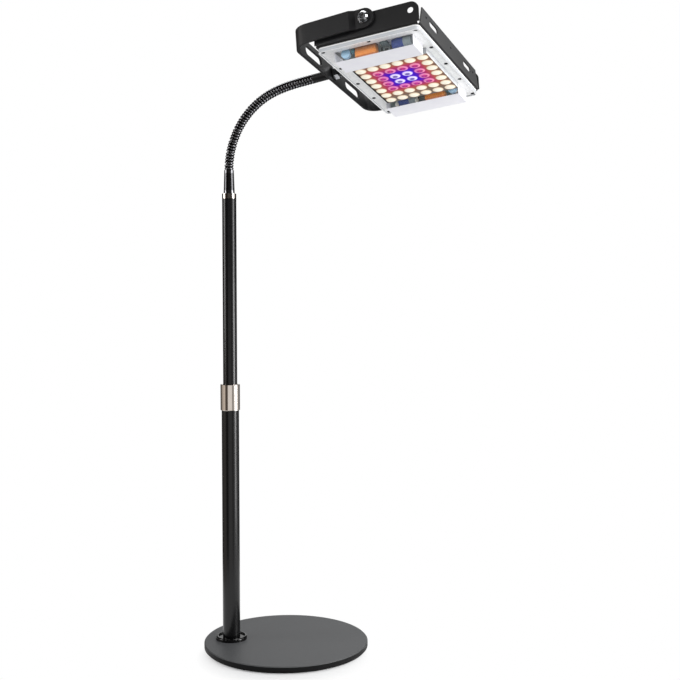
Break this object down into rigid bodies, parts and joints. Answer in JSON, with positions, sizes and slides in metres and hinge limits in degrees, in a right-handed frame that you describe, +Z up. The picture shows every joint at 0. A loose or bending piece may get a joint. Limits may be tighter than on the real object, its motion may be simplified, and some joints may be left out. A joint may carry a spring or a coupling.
{
  "type": "plant grow lamp",
  "caption": "Floor-standing plant grow lamp: round weighted foot, telescopic pole, ribbed gooseneck and a yoke-held LED panel head with a clear lens cover.",
  "frame": {"origin": "centre of the foot's underside, on the floor", "axes": "+Z up; +X from the pole's axis towards the foot's centre; +Y to the back of the picture"},
  "size_m": [0.3965, 0.3505, 0.8816],
  "materials": {
    "base_paint": "fine matte charcoal paint",
    "pole_paint": "satin black paint",
    "head_paint": "satin black powder coat",
    "neck_paint": "satin black paint",
    "chrome": "polished",
    "zinc_steel": "bright zinc plate",
    "black_steel": "black oxide",
    "flange_plastic": "glossy black",
    "nylon": "natural nylon",
    "gland_plastic": "black nylon",
    "pad_foam": "soft black pad",
    "gasket_rubber": "white silicone",
    "sink_aluminium": "plain extruded aluminium",
    "clear_plastic": "clear polycarbonate",
    "board_white": "white solder mask",
    "led_white": "warm white LED",
    "led_red": "red LED",
    "led_violet": "violet LED",
    "orange_resin": "orange resin",
    "light_blue_resin": "light blue resin",
    "dark_blue_sleeve": "dark blue sleeve",
    "chip_grey": "grey-green chip",
    "teal_resin": "teal resin"
  },
  "bodies": {
    "root": {"base_plate": "base_paint", "base_pad": "pad_foam", "foot_flange": "flange_plastic", "foot_plug": "zinc_steel", "pole_screw": "zinc_steel", "lower_tube": "pole_paint"},
    "collar": {"locking_collar": "chrome"},
    "collet": {"grip_collet": "nylon"},
    "mast": {"upper_tube": "pole_paint", "guide_bush": "nylon", "tube_end_ring": "chrome", "neck_lower_ferrule": "neck_paint", "neck_root": "neck_paint"},
    "neck_1": {"neck_link_1": "neck_paint"},
    "neck_2": {"neck_link_2": "neck_paint"},
    "neck_3": {"neck_link_3": "neck_paint"},
    "neck_4": {"neck_link_4": "neck_paint"},
    "neck_5": {"neck_link_5": "neck_paint"},
    "neck_6": {"neck_link_6": "neck_paint"},
    "neck_7": {"neck_link_7": "neck_paint"},
    "neck_8": {"neck_link_8": "neck_paint"},
    "neck_9": {"neck_link_9": "neck_paint"},
    "neck_10": {"neck_link_10": "neck_paint"},
    "neck_11": {"neck_link_11": "neck_paint", "neck_upper_ferrule": "neck_paint", "stud_washers": "black_steel", "neck_nut": "zinc_steel"},
    "yoke": {"yoke": "head_paint"},
    "head": {"pivot_screws": "zinc_steel", "lock_washers": "zinc_steel", "flat_washers": "black_steel", "pivot_nuts": "zinc_steel", "lamp_shell": "head_paint", "heat_sink": "sink_aluminium", "heat_sink_screws": "zinc_steel", "led_board": "board_white", "white_leds": "led_white", "red_leds": "led_red", "violet_leds": "led_violet", "lens_cover": "clear_plastic", "cover_gasket": "gasket_rubber", "cover_screws": "black_steel", "cover_nuts": "zinc_steel", "film_capacitors": "orange_resin", "varistors": "light_blue_resin", "bulk_capacitors": "dark_blue_sleeve", "driver_chips": "chip_grey", "rectifiers": "teal_resin", "cable_gland": "gland_plastic", "gland_cap": "gland_plastic"}
  },
  "joints": [
    {"name": "collar_twist", "type": "hinge", "parent": "root", "child": "collar", "pos_m": [-0.081, 0, 0.368], "axis": [0, 0, 1], "range_deg": [0, 180]},
    {"name": "mast_swivel", "type": "hinge", "parent": "root", "child": "collet", "pos_m": [-0.081, 0, 0.38], "axis": [0, 0, 1], "range_deg": [-170, 170]},
    {"name": "mast_slide", "type": "slide", "parent": "collet", "child": "mast", "axis": [0, 0, 1], "range_m": [-0.26, 0.03]},
    {"name": "neck_bend_1", "type": "hinge", "parent": "mast", "child": "neck_1", "pos_m": [-0.081, 0, 0.705], "axis": [0.3584, 0.9336, 0], "range_deg": [-8.4, 3.6]},
    {"name": "neck_bend_2", "type": "hinge", "parent": "neck_1", "child": "neck_2", "pos_m": [-0.0787, -0.00088, 0.72162], "axis": [0.3584, 0.9336, 0], "range_deg": [-8.4, 3.6]},
    {"name": "neck_bend_3", "type": "hinge", "parent": "neck_2", "child": "neck_3", "pos_m": [-0.07416, -0.00263, 0.7377], "axis": [0.3584, 0.9336, 0], "range_deg": [-8.4, 3.6]},
    {"name": "neck_bend_4", "type": "hinge", "parent": "neck_3", "child": "neck_4", "pos_m": [-0.06746, -0.0052, 0.75289], "axis": [0.3584, 0.9336, 0], "range_deg": [-8.4, 3.6]},
    {"name": "neck_bend_5", "type": "hinge", "parent": "neck_4", "child": "neck_5", "pos_m": [-0.05877, -0.00853, 0.76687], "axis": [0.3584, 0.9336, 0], "range_deg": [-8.4, 3.6]},
    {"name": "neck_bend_6", "type": "hinge", "parent": "neck_5", "child": "neck_6", "pos_m": [-0.04825, -0.01257, 0.77933], "axis": [0.3584, 0.9336, 0], "range_deg": [-8.4, 3.6]},
    {"name": "neck_bend_7", "type": "hinge", "parent": "neck_6", "child": "neck_7", "pos_m": [-0.03614, -0.01722, 0.79002], "axis": [0.3584, 0.9336, 0], "range_deg": [-8.4, 3.6]},
    {"name": "neck_bend_8", "type": "hinge", "parent": "neck_7", "child": "neck_8", "pos_m": [-0.02271, -0.02238, 0.79868], "axis": [0.3584, 0.9336, 0], "range_deg": [-8.4, 3.6]},
    {"name": "neck_bend_9", "type": "hinge", "parent": "neck_8", "child": "neck_9", "pos_m": [-0.00823, -0.02793, 0.80515], "axis": [0.3584, 0.9336, 0], "range_deg": [-6.3, 2.7]},
    {"name": "neck_bend_10", "type": "hinge", "parent": "neck_9", "child": "neck_10", "pos_m": [0.00682, -0.03371, 0.80986], "axis": [0.3584, 0.9336, 0], "range_deg": [-4.2, 1.8]},
    {"name": "neck_bend_11", "type": "hinge", "parent": "neck_10", "child": "neck_11", "pos_m": [0.02216, -0.0396, 0.81339], "axis": [0.3584, 0.9336, 0], "range_deg": [-2.1, 0.9]},
    {"name": "yoke_swivel", "type": "hinge", "parent": "neck_11", "child": "yoke", "pos_m": [0.07066, -0.05822, 0.82255], "axis": [0.9194, -0.3529, 0.1736], "range_deg": [-90, 90]},
    {"name": "head_tilt", "type": "hinge", "parent": "yoke", "child": "head", "pos_m": [0.16443, -0.09421, 0.84026], "axis": [0.385, 0.898, -0.2132], "range_deg": [-90, 90]}
  ],
  "couplings": [
    {"joint": "neck_bend_2", "follows": "neck_bend_1", "ratio": 1},
    {"joint": "neck_bend_3", "follows": "neck_bend_1", "ratio": 1},
    {"joint": "neck_bend_4", "follows": "neck_bend_1", "ratio": 1},
    {"joint": "neck_bend_5", "follows": "neck_bend_1", "ratio": 1},
    {"joint": "neck_bend_6", "follows": "neck_bend_1", "ratio": 1},
    {"joint": "neck_bend_7", "follows": "neck_bend_1", "ratio": 1},
    {"joint": "neck_bend_8", "follows": "neck_bend_1", "ratio": 1},
    {"joint": "neck_bend_9", "follows": "neck_bend_1", "ratio": 0.75},
    {"joint": "neck_bend_10", "follows": "neck_bend_1", "ratio": 0.5},
    {"joint": "neck_bend_11", "follows": "neck_bend_1", "ratio": 0.25}
  ]
}
